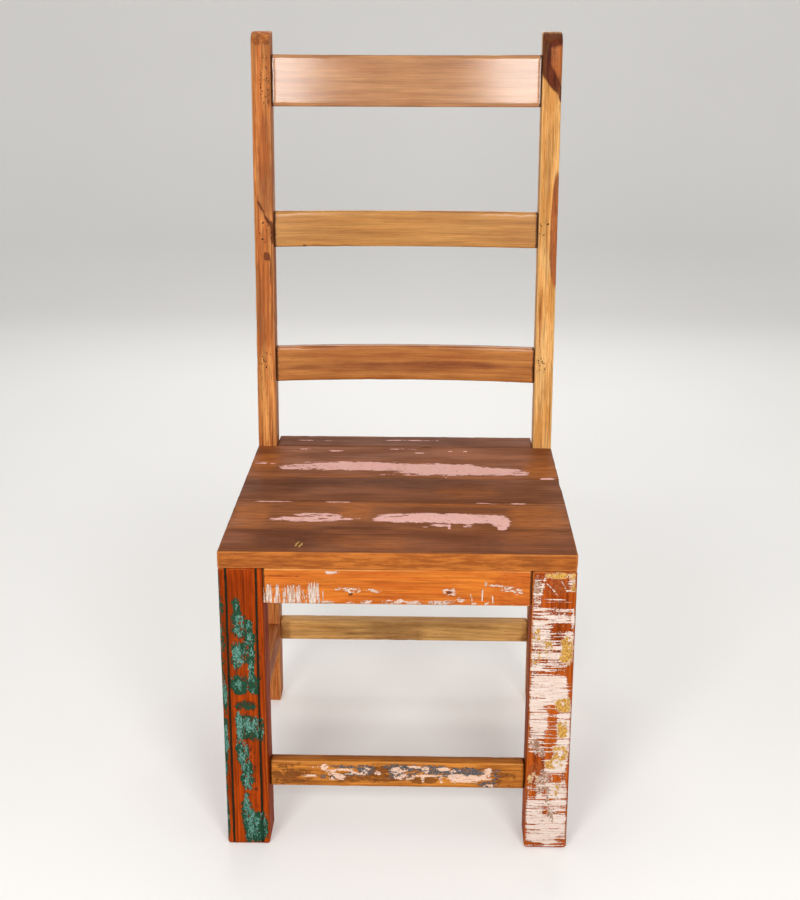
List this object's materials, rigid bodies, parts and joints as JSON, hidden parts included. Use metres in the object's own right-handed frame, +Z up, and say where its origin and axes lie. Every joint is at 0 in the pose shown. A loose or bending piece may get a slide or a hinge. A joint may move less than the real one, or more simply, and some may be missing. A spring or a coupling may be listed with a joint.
{
  "type": "dining chair",
  "caption": "Ladder-back dining chair of reclaimed painted boards, with square front legs, raked posts, bowed rails and worn, peeling paint.",
  "frame": {"origin": "on the floor, at the middle of the chair's width and depth", "axes": "+Z up, +X to the right of someone looking at the chair's front, -Y is the way the chair faces"},
  "size_m": [0.48, 0.5642, 1.099],
  "materials": {
    "teal_leg_timber": "worn orange-red varnish with peeling teal and dark green paint",
    "white_leg_timber": "orange timber with peeling white and ochre paint",
    "left_post_timber": "satin varnish over orange-tan timber",
    "right_post_timber": "satin varnish over golden timber with a dark top",
    "rail_timber": "satin varnish over tan timber",
    "apron_timber": "satin varnish over orange timber with scraps of white paint",
    "stretcher_timber": "satin varnish over golden timber with remnants of paint",
    "seat_timber": "semi-gloss varnish over brown timber with patches of pink paint",
    "plain_timber": "plain sawn timber",
    "screw_steel": "dull zinc plate"
  },
  "bodies": {
    "root": {"front_leg_left": "teal_leg_timber", "front_leg_right": "white_leg_timber", "back_post_left": "left_post_timber", "back_post_right": "right_post_timber", "top_rail": "rail_timber", "middle_rail": "rail_timber", "lower_rail": "rail_timber", "front_apron": "apron_timber", "back_apron": "plain_timber", "side_apron_left": "apron_timber", "side_apron_right": "apron_timber", "front_stretcher": "stretcher_timber", "rear_stretcher": "stretcher_timber", "side_stretcher_left": "stretcher_timber", "side_stretcher_right": "stretcher_timber", "seat_board_1": "seat_timber", "seat_board_2": "seat_timber", "seat_board_3": "seat_timber", "seat_board_4": "seat_timber", "seat_board_5": "seat_timber", "seat_dowels": "plain_timber", "corner_block_front_left": "plain_timber", "corner_block_front_right": "plain_timber", "corner_block_back_left": "plain_timber", "corner_block_back_right": "plain_timber", "corner_block_screws": "screw_steel", "seat_screws": "screw_steel"}
  },
  "joints": []
}
